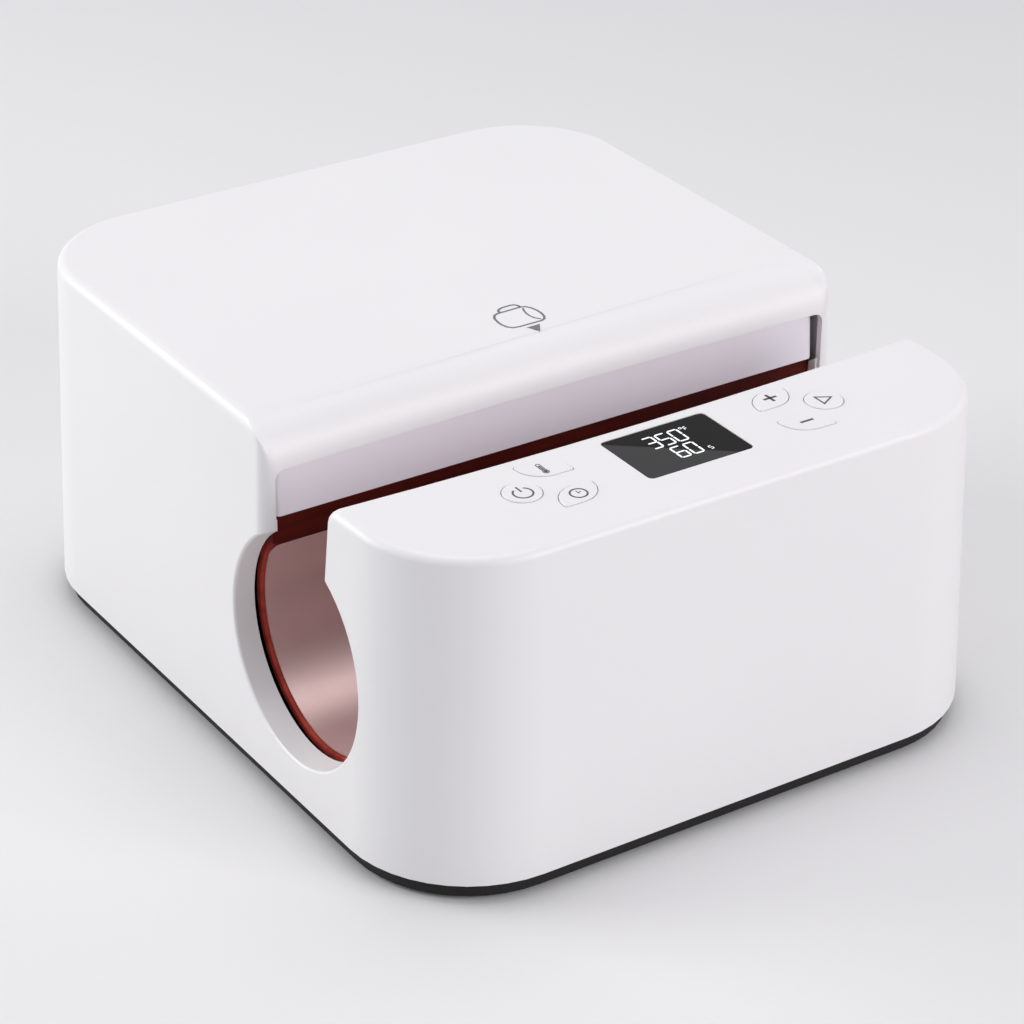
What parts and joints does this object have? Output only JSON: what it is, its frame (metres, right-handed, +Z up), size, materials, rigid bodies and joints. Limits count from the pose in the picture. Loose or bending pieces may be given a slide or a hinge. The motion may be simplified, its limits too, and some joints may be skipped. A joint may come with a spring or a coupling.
{
  "type": "mug heat press",
  "caption": "Tabletop mug heat press: white rounded housing with a handle slot, a round mug cavity through the sides, curved heater halves, a motor-driven carriage and a control panel.",
  "frame": {"origin": "centre of the footprint at the underside of the feet", "axes": "+X to the right seen from the control panel, +Y to the back, +Z up"},
  "size_m": [0.286, 0.3394, 0.1586],
  "materials": {
    "white_plastic": "satin white moulded ABS",
    "lilac_plastic": "satin pale lilac-white moulded shield",
    "black_plastic": "fine-textured black moulding",
    "rubber": "matt black rubber",
    "silicone": "dark red silicone rubber heater",
    "rose_coating": "smooth rose coated cloth",
    "steel": "plated sheet and turned steel",
    "aluminium": "cast and extruded aluminium",
    "brass": "turned brass",
    "smoked_window": "glossy smoked acrylic",
    "circuit_board": "green solder mask",
    "dark_metal": "dark coated metal"
  },
  "bodies": {
    "press": {"housing": "white_plastic", "base_tray": "black_plastic", "foot_front_left": "rubber", "foot_front_right": "rubber", "foot_rear_left": "rubber", "foot_rear_right": "rubber", "base_screw_front_left": "steel", "base_screw_front_right": "steel", "base_screw_rear_left": "steel", "base_screw_rear_right": "steel", "display_window": "smoked_window", "display_module": "dark_metal", "control_board": "circuit_board", "switch_power": "black_plastic", "switch_temperature": "black_plastic", "switch_timer": "black_plastic", "switch_plus": "black_plastic", "switch_minus": "black_plastic", "switch_start": "black_plastic", "front_bracket": "steel", "front_band": "steel", "front_heating_mat": "silicone", "front_facing_sheet": "rose_coating", "drive_bracket": "steel", "guide_bushing_left": "brass", "guide_bushing_right": "brass", "screw_bearing": "steel", "position_sensor": "black_plastic", "motor_bracket": "steel", "gearbox": "dark_metal", "motor": "steel", "power_board": "circuit_board", "transformer": "dark_metal", "heat_sink": "aluminium", "mains_inlet": "black_plastic", "pin_line": "brass", "pin_neutral": "brass", "pin_earth": "brass"},
    "carriage": {"carriage_frame": "aluminium", "nut_bracket": "steel", "carriage_nut": "brass", "guide_rod_left": "steel", "guide_rod_right": "steel", "rear_band": "steel", "rear_heating_mat": "silicone", "rear_facing_sheet": "rose_coating", "temperature_probe": "dark_metal", "thermal_fuse": "dark_metal", "shield_panel": "lilac_plastic"},
    "screw": {"lead_screw": "steel", "shaft_coupling": "aluminium", "motor_shaft": "steel"},
    "key_power": {"button_power": "white_plastic"},
    "key_temperature": {"button_temperature": "white_plastic"},
    "key_timer": {"button_timer": "white_plastic"},
    "key_plus": {"button_plus": "white_plastic"},
    "key_minus": {"button_minus": "white_plastic"},
    "key_start": {"button_start": "white_plastic"}
  },
  "joints": [
    {"name": "carriage_slide", "type": "slide", "parent": "press", "child": "carriage", "axis": [0, -1, 0], "range_m": [0, 0.012]},
    {"name": "screw_turn", "type": "hinge", "parent": "press", "child": "screw", "pos_m": [0, 0.03, 0.0736], "axis": [0, 1, 0], "range_deg": [0, 1080]},
    {"name": "press_power", "type": "slide", "parent": "press", "child": "key_power", "axis": [0, 0, -1], "range_m": [0, 0.0008], "stiffness_N_per_m": 1500, "springref_m": -0.0004},
    {"name": "press_temperature", "type": "slide", "parent": "press", "child": "key_temperature", "axis": [0, 0, -1], "range_m": [0, 0.0008], "stiffness_N_per_m": 1500, "springref_m": -0.0004},
    {"name": "press_timer", "type": "slide", "parent": "press", "child": "key_timer", "axis": [0, 0, -1], "range_m": [0, 0.0008], "stiffness_N_per_m": 1500, "springref_m": -0.0004},
    {"name": "press_plus", "type": "slide", "parent": "press", "child": "key_plus", "axis": [0, 0, -1], "range_m": [0, 0.0008], "stiffness_N_per_m": 1500, "springref_m": -0.0004},
    {"name": "press_minus", "type": "slide", "parent": "press", "child": "key_minus", "axis": [0, 0, -1], "range_m": [0, 0.0008], "stiffness_N_per_m": 1500, "springref_m": -0.0004},
    {"name": "press_start", "type": "slide", "parent": "press", "child": "key_start", "axis": [0, 0, -1], "range_m": [0, 0.0008], "stiffness_N_per_m": 1500, "springref_m": -0.0004}
  ],
  "couplings": [
    {"joint": "screw_turn", "follows": "carriage_slide", "rad_per_m": 1570.8}
  ]
}
